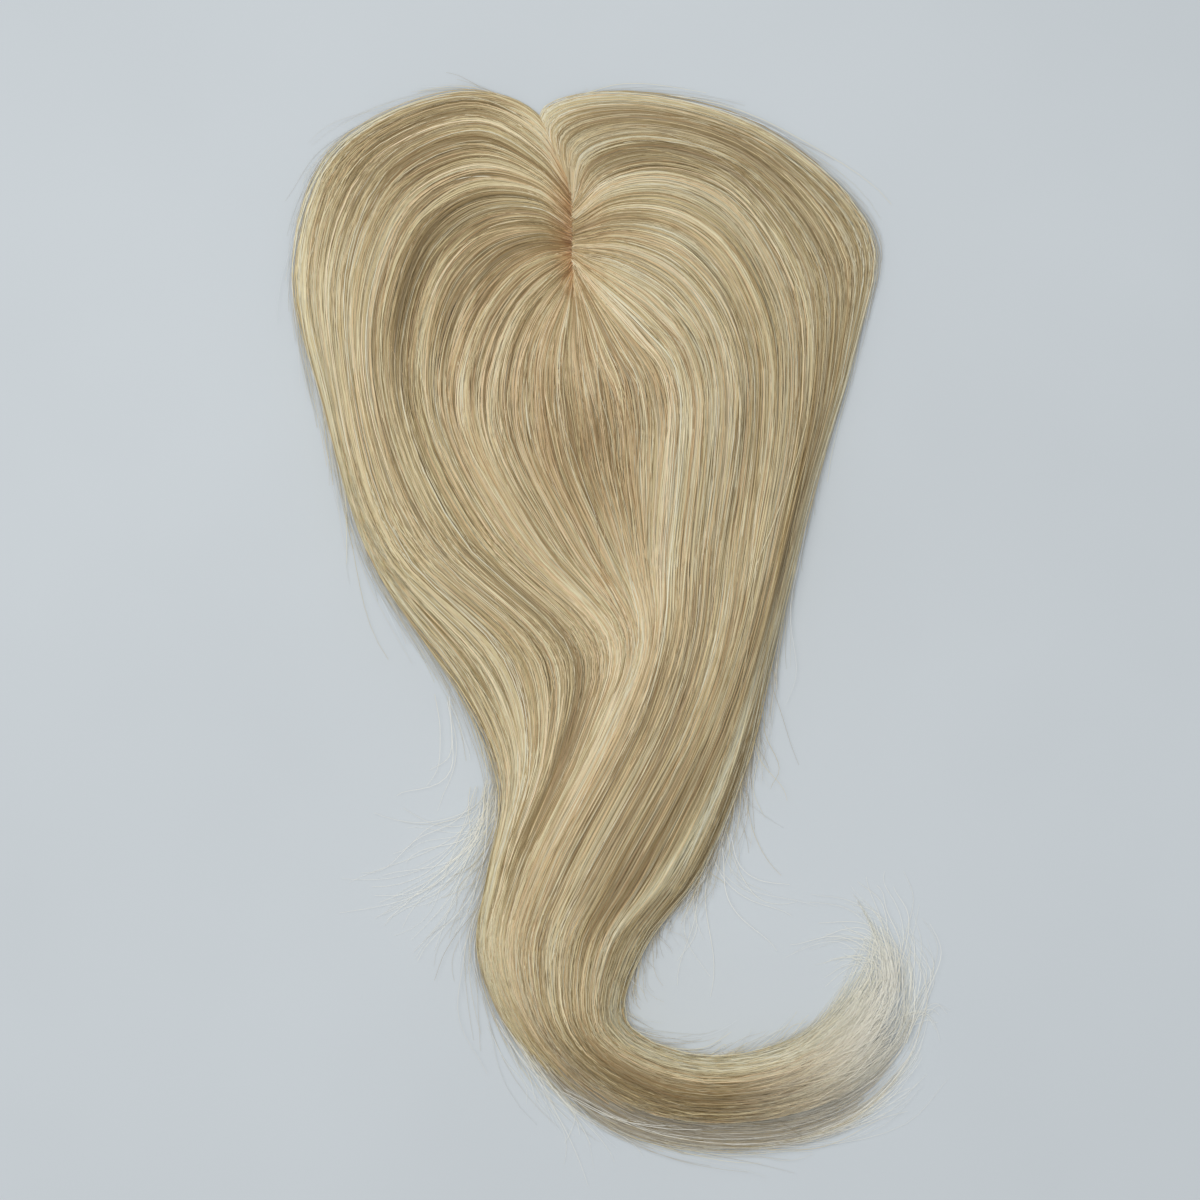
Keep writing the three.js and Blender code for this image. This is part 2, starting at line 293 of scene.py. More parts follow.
# Stray hairs off the body, by their way in plan and the degrees by which they fan out from its start.
STRAYS = named_rows(
    "name fan count way",
    ("low_bunch", 9, 34, ((-24, -252), (-10, -274), (2, -288), (13, -300))),
    ("low_loop", 3, 18, ((-4, -276), (30, -292), (76, -296), (108, -288), (122, -274))),
    ("crook_near", 14, 9, ((46, -196), (42, -208), (38, -222), (37, -240))),
    ("crook_far", 16, 7, ((50, -190), (54, -204), (62, -215), (74, -224))),
    ("tip_curl", 15, 36, ((106, -243), (106, -230), (99, -221.5), (84.5, -219.5))),
    ("tip_up", 12, 34, ((109, -243), (110.5, -226), (106.5, -212), (98, -204))),
    ("tip_out", 9, 28, ((113, -258), (118.5, -241.5), (119, -228), (113, -218))),
    ("tip_far", 20, 9, ((112, -254), (118, -250), (123, -248), (127, -250))),
    ("neck_high", 12, 5, ((-45, -141), (-42.5, -157), (-45, -172), (-53, -181))),
    ("neck_fan", 15, 46, ((-29, -172), (-34, -189), (-47, -206), (-69, -221))),
)

# The part's locks, from the left edge round the back to the right edge.
LOCKS = (
    "fringe_left", "side_left", "crown_left", "nape_left",
    "nape_right", "crown_right", "side_right", "fringe_right",
)

# Lanes and places of the grids that hold the combed form.
LANES_READ = 321
PLACES_READ = 481

# The least that curves and directions are divided by.
LEAST_KNOT = 1e-5
LEAST_LENGTH = 1e-12

# Sines in a slow wave and the spread of their heights, and the band of the bake map that a strand takes up.
WAVES_SUMMED = 2
WAVE_HEIGHT = 0.7
TONE_HALF_WIDTH = 0.003


class TopperHairSettings(bpy.types.PropertyGroup):
    """How the hair is combed and coloured"""

    strands: bpy.props.IntProperty(
        name="Strands in a lock", description="Ribbons of hair in each lock", default=1200, min=1,
    )
    tufts: bpy.props.IntProperty(
        name="Tufts in a lock", description="Groups of strands that lie together in each lock",
        default=44, min=1,
    )
    tresses: bpy.props.IntProperty(
        name="Tresses in a lock", description="Groups of tufts that wander together in each lock",
        default=11, min=1,
    )
    width: bpy.props.FloatProperty(
        name="Strand width", description="Width of one ribbon of hair", default=0.24 * MM, unit="LENGTH",
        precision=5,
    )
    wisp_width: bpy.props.FloatProperty(
        name="Wisp width", description="Width of one loose hair", default=0.16 * MM, unit="LENGTH",
        precision=5,
    )
    roll: bpy.props.FloatProperty(
        name="Strand roll", description="How far ribbons turn about their length", default=math.radians(24),
        subtype="ANGLE",
    )
    lowlight: bpy.props.FloatVectorProperty(
        name="Lowlight", description="Colour of the darkest strands", default=(0.37, 0.265, 0.125), size=3,
        subtype="COLOR",
    )
    midlight: bpy.props.FloatVectorProperty(
        name="Midlight", description="Colour of most strands", default=(0.79, 0.66, 0.39), size=3,
        subtype="COLOR",
    )
    highlight: bpy.props.FloatVectorProperty(
        name="Highlight", description="Colour of the palest strands", default=(0.96, 0.89, 0.65), size=3,
        subtype="COLOR",
    )
    # The colour of the ends is partly painted light shining through the thin hair there.
    ends: bpy.props.FloatVectorProperty(
        name="Ends", description="Colour that the hair fades to at its ends",
        default=(0.99, 0.99, 0.92), size=3, subtype="COLOR",
    )
    underlight: bpy.props.FloatVectorProperty(
        name="Under-hair", description="Colour of the hair below the top layer",
        default=(0.70, 0.56, 0.32), size=3, subtype="COLOR",
    )


class TopperCapSettings(bpy.types.PropertyGroup):
    """Finish of the cap and of the clips under it"""

    silk: bpy.props.FloatVectorProperty(
        name="Silk", description="Colour of the skin-toned silk cap", default=(0.85, 0.60, 0.46), size=3,
        subtype="COLOR",
    )
    weave: bpy.props.FloatProperty(
        name="Weave", description="Distance from one thread of the silk to the next", default=0.5 * MM,
        unit="LENGTH", precision=5,
    )
    clip: bpy.props.FloatVectorProperty(
        name="Clip", description="Colour of the painted snap clips", default=(0.50, 0.39, 0.23), size=3,
        subtype="COLOR",
    )


class TopperStageSettings(bpy.types.PropertyGroup):
    """Table, lights and camera"""

    table: bpy.props.FloatVectorProperty(
        name="Table", description="Colour of the table top", default=(0.66, 0.72, 0.77), size=3,
        subtype="COLOR",
    )
    frame_width: bpy.props.FloatProperty(
        name="Picture width", description="Width of table that the camera takes in", default=0.414,
        unit="LENGTH",
    )
    camera_height: bpy.props.FloatProperty(
        name="Camera height", description="Height of the camera over the table", default=1.8, unit="LENGTH",
    )
    window_power: bpy.props.FloatProperty(
        name="Window light", description="Power of the large soft light at the upper left",
        default=16.5, unit="POWER",
    )
    room_light: bpy.props.FloatProperty(
        name="Room light", description="Strength of the light from all round", default=0.35,
    )


def combed_curve(points, shares):
    """Smooth curve through points[place, ...], read at shares of the way counted evenly by place."""
    spans = len(points) - 1
    place = np.clip(shares, 0, 1) * spans
    first = np.minimum(place.astype(int), spans - 1)
    part = (place - first)[:, None, None]
    before, after = 2 * points[:1] - points[1:2], 2 * points[-1:] - points[-2:-1]
    ring = np.concatenate([before, points, after])
    p0, p1, p2, p3 = (ring[first + step] for step in range(4))

    def knot(a, b):
        return np.maximum(np.sum((a - b) ** 2, axis=-1, keepdims=True) ** 0.25, LEAST_KNOT)

    d0, d1, d2 = knot(p0, p1), knot(p1, p2), knot(p2, p3)
    leave = ((p1 - p0) / d0 - (p2 - p0) / (d0 + d1) + (p2 - p1) / d1) * d1
    arrive = ((p2 - p1) / d1 - (p3 - p1) / (d1 + d2) + (p3 - p2) / d2) * d1
    square = 3 * (p2 - p1) - 2 * leave - arrive
    cube = 2 * (p1 - p2) + leave + arrive
    return p1 + part * (leave + part * (square + part * cube))


def smooth_step(low, high, value):
    """0 below low, 1 above high, and a smooth rise between."""
    share = np.clip((value - low) / (high - low), 0, 1)
    return share * share * (3 - 2 * share)


def unit(vectors):
    """The same directions with a length of one."""
    return vectors / np.maximum(np.linalg.norm(vectors, axis=-1, keepdims=True), LEAST_LENGTH)


def streaks(rows, measure, lanes, places):
    """Sum of streaks with a soft outline, read on a grid of lanes and places."""
    total = np.zeros((len(lanes), len(places)))
    for row in rows:
        part = np.clip((places - row["begin"]) / (row["end"] - row["begin"]), 0, 1)
        lane = row["lane"] + (row["to_lane"] - row["lane"]) * part
        over = np.exp(-(((lanes[:, None] - lane) / row["breadth"]) ** 2))
        total += row[measure] * over * np.sin(math.pi * part) ** STREAK_POWER
    return total


def strewn_folds():
    """Small folds where tresses lie over each other, strewn over the hair."""
    limits = STREWN_FOLDS
    rng = np.random.default_rng(limits["seed"])
    rows = []
    for _ in range(limits["count"]):
        lane = rng.uniform(*limits["lane"])
        begin = rng.uniform(*limits["begin"])
        rows.append({
            "lane": lane, "to_lane": lane + rng.normal(0, limits["drift"]),
            "breadth": rng.uniform(*limits["breadth"]), "rise": rng.normal(0, limits["rise"]),
            "begin": begin, "end": begin + rng.uniform(*limits["length"]),
        })
    return rows


def section_depth(section, share):
    """Depth of a rounded section at a share of the way across it."""
    return section["sides"] + section["more"] * math.sin(math.pi * share) ** SECTION_POWER


class CombedHair:
    """Where a lane of hair lies at each place of its length. Grids are [lane, place] and in metres."""

    least_thickness = 0.5 * MM
    least_cover = 0.6 * MM
    folds_run = (0.3, 2.5)
    folds_in_tail = 0.15
    deepest_fold = 0.4

    def __init__(self):
        low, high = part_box("base")
        middle = (low + high) / 2
        self.shift = np.array([middle.x, middle.y - CAP["centre_y"] * MM])
        lanes = np.linspace(0, 1, LANES_READ)
        shares = np.linspace(0, 1, PLACES_READ)
        places = shares * LAST_PLACE
        lines = combed_curve(self.line_points(), shares)
        surface = combed_curve(lines.transpose(1, 0, 2), lanes)
        plan = surface[..., :2]
        self.bed, swell = self.dome(plan)
        breadth = np.linalg.norm(plan[-1] - plan[0], axis=-1)
        folds = streaks(FOLDS, "rise", lanes, places)
        room = np.clip(breadth / WIDEST_HAIR, self.folds_in_tail, 1)
        folds += streaks(strewn_folds(), "rise", lanes, places) * room
        thick = np.maximum(surface[..., 2], self.least_thickness)
        folds = np.maximum(folds * MM * smooth_step(*self.folds_run, places), -self.deepest_fold * thick)
        self.crest = np.maximum(swell + HAIR_TO_CAP_GAP * MM + thick + folds, self.bed + self.least_cover)
        self.shade = streaks(SHADES, "shade", lanes, places)
        self.plan = plan + self.shift
        self.spacing = np.linalg.norm(np.gradient(plan, axis=0), axis=-1) * (LANES_READ - 1)
        top = np.dstack([self.plan, self.crest])
        across, onward = np.gradient(top, axis=0), np.gradient(top, axis=1)
        self.facing = unit(np.cross(onward, across))
        self.facing *= np.sign(self.facing[..., 2:])

    @staticmethod
    def line_points():
        """Places of the combed lines as [place, line, (x, y, thickness)]."""
        columns = []
        for line in COMBED_LINES:
            column = [line[place] for place in PLACES]
            for section in TAIL:
                outer, inner = np.array(section["outer"]), np.array(section["inner"])
                column.append(outer + (inner - outer) * line["tail"])
            place = np.arange(LAST_PLACE + 1)
            inside = max(0.0, (line["tail"] - TAIL_BODY) / (1 - TAIL_BODY))
            neck_depth = section_depth(NECK_SECTION, line["tail"])
            tail_depth = section_depth(TAIL_SECTION, inside)
            depths = line["depth"] + (neck_depth - line["depth"]) * smooth_step(*NECK_RUN, place)
            depths = depths + (tail_depth - depths) * smooth_step(*TAIL_RUN, place)
            thick = np.maximum(THINNEST_HAIR, np.array(list(THICKNESS.values())) * depths)
            columns.append(np.column_stack([np.array(column, float), thick]))
        return np.array(columns).transpose(1, 0, 2) * MM

    @staticmethod
    def dome(plan):
        """Height of what the hair lies on, and of the swell that the dome makes in the hair."""
        x = plan[..., 0] / MM / CAP["half_width"]
        y = (plan[..., 1] / MM - CAP["centre_y"]) / CAP["half_length"]
        rim = x * x + y * y
        bed = np.maximum(0, CAP["height"] * (1 - rim) + HAIR_TO_CAP_GAP)
        swell = CAP["height"] * np.maximum(0, 1 - rim / SWELL_SPREAD**2) ** SWELL_POWER
        return bed * MM, swell * MM

    @staticmethod
    def read(grid, lane, place):
        """Values of a grid at lanes and places. A lane past the edges carries straight on."""
        x, y = lane * (LANES_READ - 1), np.clip(place / LAST_PLACE, 0, 1) * (PLACES_READ - 1)
        i = np.clip(np.floor(x).astype(int), 0, LANES_READ - 2)
        j = np.clip(np.floor(y).astype(int), 0, PLACES_READ - 2)
        a, b = x - i, y - j
        if grid.ndim == 3:
            a, b = a[..., None], b[..., None]
        near = grid[i, j] * (1 - b) + grid[i, j + 1] * b
        far = grid[i + 1, j] * (1 - b) + grid[i + 1, j + 1] * b
        return near * (1 - a) + far * a


@functools.lru_cache
def combed_hair():
    """The one combed form that all the hair pieces share."""
    return CombedHair()


def ribbon_shares():
    """Shares of the way along where a ribbon has its cross rows, closer where the hair bends."""
    shares = [0.0]
    for index, count in enumerate(SEGMENTS.values()):
        shares += [(index + step / count) / LAST_PLACE for step in range(1, count + 1)]
    return np.array(shares)


def slow_waves(rng, count, share, fewest, most):
    """A gentle random wave for each of count strands, about one high, read at share[strand, row]."""
    waves = np.zeros_like(share)
    for _ in range(WAVES_SUMMED):
        cycles = rng.uniform(fewest, most, (count, 1))
        phase = rng.uniform(0, 2 * math.pi, (count, 1))
        waves += rng.normal(0, WAVE_HEIGHT, (count, 1)) * np.sin(2 * math.pi * cycles * share + phase)
    return waves


def mesh_piece(name, points, faces, places, material):
    """A smooth piece from points[n, 3], four-cornered faces[m, 4] and a bake map of places[m, 4, 2]."""
    mesh = bpy.data.meshes.new(name)
    mesh.vertices.add(len(points))
    mesh.vertices.foreach_set("co", np.asarray(points, np.float32).ravel())
    mesh.loops.add(faces.size)
    mesh.loops.foreach_set("vertex_index", np.asarray(faces, np.int32).ravel())
    mesh.polygons.add(len(faces))
    mesh.polygons.foreach_set("loop_start", np.arange(0, faces.size, 4, dtype=np.int32))
    mesh.polygons.foreach_set("use_smooth", np.ones(len(faces), bool))
    mesh.uv_layers.new(name=BAKE_MAP).data.foreach_set("uv", np.asarray(places, np.float32).ravel())
    mesh.update(calc_edges=True)
    mesh.materials.append(material)
    piece = bpy.data.objects.new(name, mesh)
    bpy.context.scene.collection.objects.link(piece)
    return piece


def ribbons(paths, facing, widths, rolls, tones, share):
    """Points, faces and bake places of ribbons along paths[strand, row, 3], with tones[strand, row]."""
    onward = unit(np.gradient(paths, axis=1))
    side = unit(np.cross(facing, onward))
    rise = np.cross(onward, side)
    across = side * np.cos(rolls)[..., None] + rise * np.sin(rolls)[..., None]
    half = across * widths[..., None] / 2
    points = np.stack([paths - half, paths + half], axis=2)
    strands, rows = paths.shape[:2]
    corner = np.arange(strands * rows * 2).reshape(strands, rows, 2)
    faces = np.stack([corner[:, :-1, 0], corner[:, :-1, 1], corner[:, 1:, 1], corner[:, 1:, 0]], axis=-1)
    low, high = tones - TONE_HALF_WIDTH, tones + TONE_HALF_WIDTH
    places = np.stack([np.stack([low, share], -1), np.stack([high, share], -1)], axis=2)
    corners = np.stack([places[:, :-1, 0], places[:, :-1, 1], places[:, 1:, 1], places[:, 1:, 0]], axis=2)
    return points.reshape(-1, 3), faces.reshape(-1, 4), corners.reshape(-1, 4, 2)


def tone_place(cast, shade):
    """Place across the bake map of a shade, 0 to 1, in a cast."""
    return (cast + np.clip(shade, *SHADE_LIMITS)) / len(CASTS)


def pick_casts(rng, lane):
    """A cast of blonde for each lane."""
    weights = np.array([
        row["common"] + row["gathers"] * np.exp(-(((lane - row["lane"]) / row["breadth"]) ** 2))
        for row in CASTS
    ])
    edges = np.cumsum(weights / weights.sum(axis=0), axis=0)
    draw = rng.random(lane.shape)
    return (draw > edges[:-1]).sum(axis=0)


def new_material(name):
    """A new material, its node tree and the node of its shader."""
    material = bpy.data.materials.new(name)
    material.use_nodes = True
    tree = material.node_tree
    shader = tree.nodes["Principled BSDF"]
    return material, tree, shader


def add_node(tree, kind, **values):
    """A node of a tree with its own settings, and with its sockets' values by name."""
    node = tree.nodes.new(kind)
    for key, value in values.items():
        if hasattr(node, key):
            setattr(node, key, value)
        else:
            node.inputs[key].default_value = value
    return node


def colour_steps(tree, value, steps):
    """The colours that a value picks from a ramp through steps of (place, colour)."""
    ramp = tree.nodes.new("ShaderNodeValToRGB")
    elements = ramp.color_ramp.elements
    while len(elements) < len(steps):
        elements.new(1.0)
    for element, (place, colour) in zip(elements, steps):
        element.position = place
        element.color = (*colour, 1)
    tree.links.new(value, ramp.inputs["Fac"])
    return ramp.outputs["Color"]


def multiply(tree, first, second):
    """A node that multiplies two colours."""
    node = add_node(tree, "ShaderNodeMix", data_type="RGBA", blend_type="MULTIPLY")
    node.inputs["Factor"].default_value = 1.0
    tree.links.new(first, node.inputs["A"])
    tree.links.new(second, node.inputs["B"])
    return node.outputs["Result"]


def stretched_noise(tree, vector, scale, detail):
    """Noise drawn out by a different scale along each axis."""
    mapping = add_node(tree, "ShaderNodeMapping")
    mapping.inputs["Scale"].default_value = scale
    tree.links.new(vector, mapping.inputs["Vector"])
    noise = add_node(tree, "ShaderNodeTexNoise", Scale=1.0, Detail=detail)
    tree.links.new(mapping.outputs["Vector"], noise.inputs["Vector"])
    return noise.outputs["Fac"]


def object_noise(tree, scale, detail):
    """The place on an object, and noise over it."""
    place = tree.nodes.new("ShaderNodeTexCoord").outputs["Object"]
    noise = add_node(tree, "ShaderNodeTexNoise", Scale=scale, Detail=detail)
    tree.links.new(place, noise.inputs["Vector"])
    return place, noise.outputs["Fac"]


def vary_roughness(tree, shader, value, low, high):
    """Roughness of a shader from low to high, by a value of 0 to 1."""
    node = add_node(tree, "ShaderNodeMapRange")
    node.inputs["To Min"].default_value = low
    node.inputs["To Max"].default_value = high
    tree.links.new(value, node.inputs["Value"])
    tree.links.new(node.outputs["Result"], shader.inputs["Roughness"])


def add_bump(tree, shader, height, strength, distance):
    """Bump on a shader from a height."""
    bump = add_node(tree, "ShaderNodeBump")
    bump.inputs["Strength"].default_value = strength
    bump.inputs["Distance"].default_value = distance
    tree.links.new(height, bump.inputs["Height"])
    tree.links.new(bump.outputs["Normal"], shader.inputs["Normal"])


def strand_material(settings):
    """Blonde strands: the bake map holds a strand's cast and shade across and its length along."""
    material, tree, shader = new_material("blonde_strands")
    tones = [np.array(colour) for colour in (settings.lowlight, settings.midlight, settings.highlight)]
    place = add_node(tree, "ShaderNodeUVMap", uv_map=BAKE_MAP)
    parts = tree.nodes.new("ShaderNodeSeparateXYZ")
    tree.links.new(place.outputs["UV"], parts.inputs["Vector"])
    across, along = parts.outputs["X"], parts.outputs["Y"]
    steps = []
    for cast, row in enumerate(CASTS):
        for part, tone in zip((0.005, 0.5, 0.995), tones):
            steps.append(((cast + part) / len(CASTS), tone * np.array(row["tint"])))
    blonde = colour_steps(tree, across, steps)
    root_tones = [(0.0, (0.80, 0.59, 0.47)), (0.025, (0.90, 0.76, 0.65)), (0.06, (1.0, 1.0, 1.0))]
    length = colour_steps(tree, along, root_tones)
    mottle = stretched_noise(tree, place.outputs["UV"], (120, 14, 1), 2.0)
    patches = colour_steps(tree, mottle, [(0.3, (0.93, 0.92, 0.90)), (0.7, (1.0, 1.0, 1.0))])
    body = multiply(tree, multiply(tree, blonde, length), patches)
    # The ends fade to near-white: partly the paler colour of the ends, partly painted light shining through
    # the thin hair there.
    fades = [(0.79, 0.0), (0.84, 0.25), (0.89, 0.75), (0.94, 0.95)]
    fading = colour_steps(tree, along, [(share, (fade,) * 3) for share, fade in fades])
    faded = add_node(tree, "ShaderNodeMix", data_type="RGBA")
    tree.links.new(fading, faded.inputs["Factor"])
    tree.links.new(body, faded.inputs["A"])
    faded.inputs["B"].default_value = (*settings.ends, 1)
    tree.links.new(faded.outputs["Result"], shader.inputs["Base Color"])
    vary_roughness(tree, shader, mottle, 0.34, 0.52)
    shader.inputs["Specular IOR Level"].default_value = 0.4
    shader.inputs["Sheen Weight"].default_value = 0.08
    shader.inputs["Sheen Roughness"].default_value = 0.4
    return material


def underhair_material(settings):
    """The hair below the top layer: streaks along its length, with the strands as bump."""
    material, tree, shader = new_material("blonde_underhair")
    colour = np.array(settings.underlight)
    place = add_node(tree, "ShaderNodeUVMap", uv_map=BAKE_MAP)
    streak = stretched_noise(tree, place.outputs["UV"], (170, 3, 1), 4.0)
    tints = colour_steps(tree, streak, [(0.3, colour * 0.7), (0.5, colour), (0.7, colour * 1.25)])
    tree.links.new(tints, shader.inputs["Base Color"])
    vary_roughness(tree, shader, streak, 0.45, 0.65)
    add_bump(tree, shader, streak, 0.6, 0.4 * MM)
    return material


def silk_material(settings):
    """Skin-toned silk: two crossing threads and a soft mottle."""
    material, tree, shader = new_material("cap_silk")
    colour = np.array(settings.silk)
    place, mottle = object_noise(tree, 60.0, 3.0)
    tints = colour_steps(tree, mottle, [(0.3, colour * 0.86), (0.7, colour * 1.1)])
    threads = []

    # A wave texture turns by this much over one metre at a scale of 1.
    radians_per_metre = 20
    for direction in ("X", "Y"):
        thread = add_node(tree, "ShaderNodeTexWave", bands_direction=direction, Distortion=0.6)
        thread.inputs["Scale"].default_value = 2 * math.pi / (radians_per_metre * settings.weave)
        tree.links.new(place, thread.inputs["Vector"])
        threads.append(thread.outputs["Color"])
    weave = multiply(tree, *threads)
    shades = colour_steps(tree, weave, [(0.0, (0.88, 0.86, 0.84)), (0.6, (1.0, 1.0, 1.0))])
    tree.links.new(multiply(tree, tints, shades), shader.inputs["Base Color"])
    vary_roughness(tree, shader, mottle, 0.45, 0.65)
    add_bump(tree, shader, weave, 0.4, 0.15 * MM)
    shader.inputs["Sheen Weight"].default_value = 0.2
    return material


def clip_material(settings):
    """Satin paint on metal, with fine scratches and worn patches."""
    material, tree, shader = new_material("clip_paint")
    colour = np.array(settings.clip)
    place, wear = object_noise(tree, 220.0, 4.0)
    steps = [(0.25, colour * 0.75), (0.5, colour), (0.75, colour * 1.15)]
    tree.links.new(colour_steps(tree, wear, steps), shader.inputs["Base Color"])
    scratches = stretched_noise(tree, place, (2600, 160, 900), 3.0)
    vary_roughness(tree, shader, scratches, 0.22, 0.5)
    add_bump(tree, shader, scratches, 0.15, 0.05 * MM)
    shader.inputs["Metallic"].default_value = 0.35
    return material


def finish_nodes(names, material):
    """Gives nodes of the part a material in place of their plain one."""
    for name in names:
        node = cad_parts[name]
        node.data.materials.clear()
        node.data.materials.append(material)


class TOPPER_OT_lay_underhair(bpy.types.Operator):
    """Lay the hair below the top layer, a closed form in each lock"""

    bl_idname = "topper.lay_underhair"
    bl_label = "Lay under-hair"

    # Places count along the hair. The maps are from and to along the bake map.
    cells_across = 10
    cells_along = 72
    first_place = 0.25
    last_place_left = 10.9
    last_place_right = 13.2
    lock_gap = 0.0008
    edge_inset = 0.028
    point_length = 2.0
    point_stagger = 0.6
    point_narrowing = 0.9
    height_share = 0.55
    highest_foot = 1.0 * MM
    foot_share = 0.25
    underside_share = 0.6
    wall_map = (0.02, 0.98)
    root_cap_map = (0.0, 0.012)
    tip_cap_map = (0.985, 0.997)

    def execute(self, context):
        material = underhair_material(context.scene.topper_hair)
        for index, lock in enumerate(LOCKS):
            piece = self.lock_piece(index, lock, material)
            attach(piece, "root")
        return {"FINISHED"}

    def lock_tube(self, index):
        """One lock's form as [round, along, 3], over the top and back below, narrowing to a point."""
        hair = combed_hair()
        first = max(index / len(LOCKS) + self.lock_gap, self.edge_inset)
        last = min((index + 1) / len(LOCKS) - self.lock_gap, 1 - self.edge_inset)
        last_place = self.last_place_left if index < len(LOCKS) // 2 else self.last_place_right
        last_place -= self.point_stagger * (index % 2)
        lane, place = np.meshgrid(
            np.linspace(first, last, self.cells_across + 1),
            np.linspace(self.first_place, last_place, self.cells_along + 1), indexing="ij",
        )
        pointed = smooth_step(last_place - self.point_length, last_place, place)
        lane = lane + ((first + last) / 2 - lane) * self.point_narrowing * pointed
        plan = hair.read(hair.plan, lane, place)
        bed, crest = hair.read(hair.bed, lane, place), hair.read(hair.crest, lane, place)
        thin = smooth_step(*ROOT_RISE, place) * (1 - self.point_narrowing * pointed)
        foot = np.minimum(self.highest_foot, self.foot_share * (crest - bed)) * thin
        top = np.dstack([plan, bed + foot + (crest - bed) * self.height_share * thin])
        low = np.dstack([plan, bed + self.underside_share * foot])
        return np.concatenate([top, low[::-1]])

    def lock_piece(self, index, lock, material):
        """One lock's under-hair: the walls of its tube, and a cap of faces at each end."""
        tube = self.lock_tube(index)
        ring, rows = tube.shape[:2]
        corner = np.arange(ring * rows).reshape(ring, rows)
        beside = np.roll(corner, -1, axis=0)
        walls = np.stack([corner[:, :-1], beside[:, :-1], beside[:, 1:], corner[:, 1:]], axis=-1)
        round_share, along_share = np.arange(ring + 1) / (ring + 1), np.linspace(*self.wall_map, rows)
        spot = np.dstack(np.meshgrid(round_share, along_share, indexing="ij"))
        spots = np.stack([spot[:-1, :-1], spot[1:, :-1], spot[1:, 1:], spot[:-1, 1:]], axis=2)
        half = ring // 2
        caps, cap_spots = [], []
        for row, (low_v, high_v) in ((0, self.root_cap_map), (rows - 1, self.tip_cap_map)):
            turn = 1 if row == 0 else -1
            for step in range(half - 1):
                over, under = corner[step:step + 2, row], corner[ring - 2 - step:ring - step, row]
                left, right = step / half, (step + 1) / half
                cap_spot = [(left, low_v), (right, low_v), (right, high_v), (left, high_v)]
                caps.append([*over, *under][::turn])
                cap_spots.append(cap_spot[::turn])
        faces = np.concatenate([walls.reshape(-1, 4)[:, ::-1], np.array(caps)])
        places = np.concatenate([spots.reshape(-1, 4, 2)[:, ::-1], np.array(cap_spots)])
        return mesh_piece(f"underhair_{lock}", tube.reshape(-1, 3), faces, places, material)


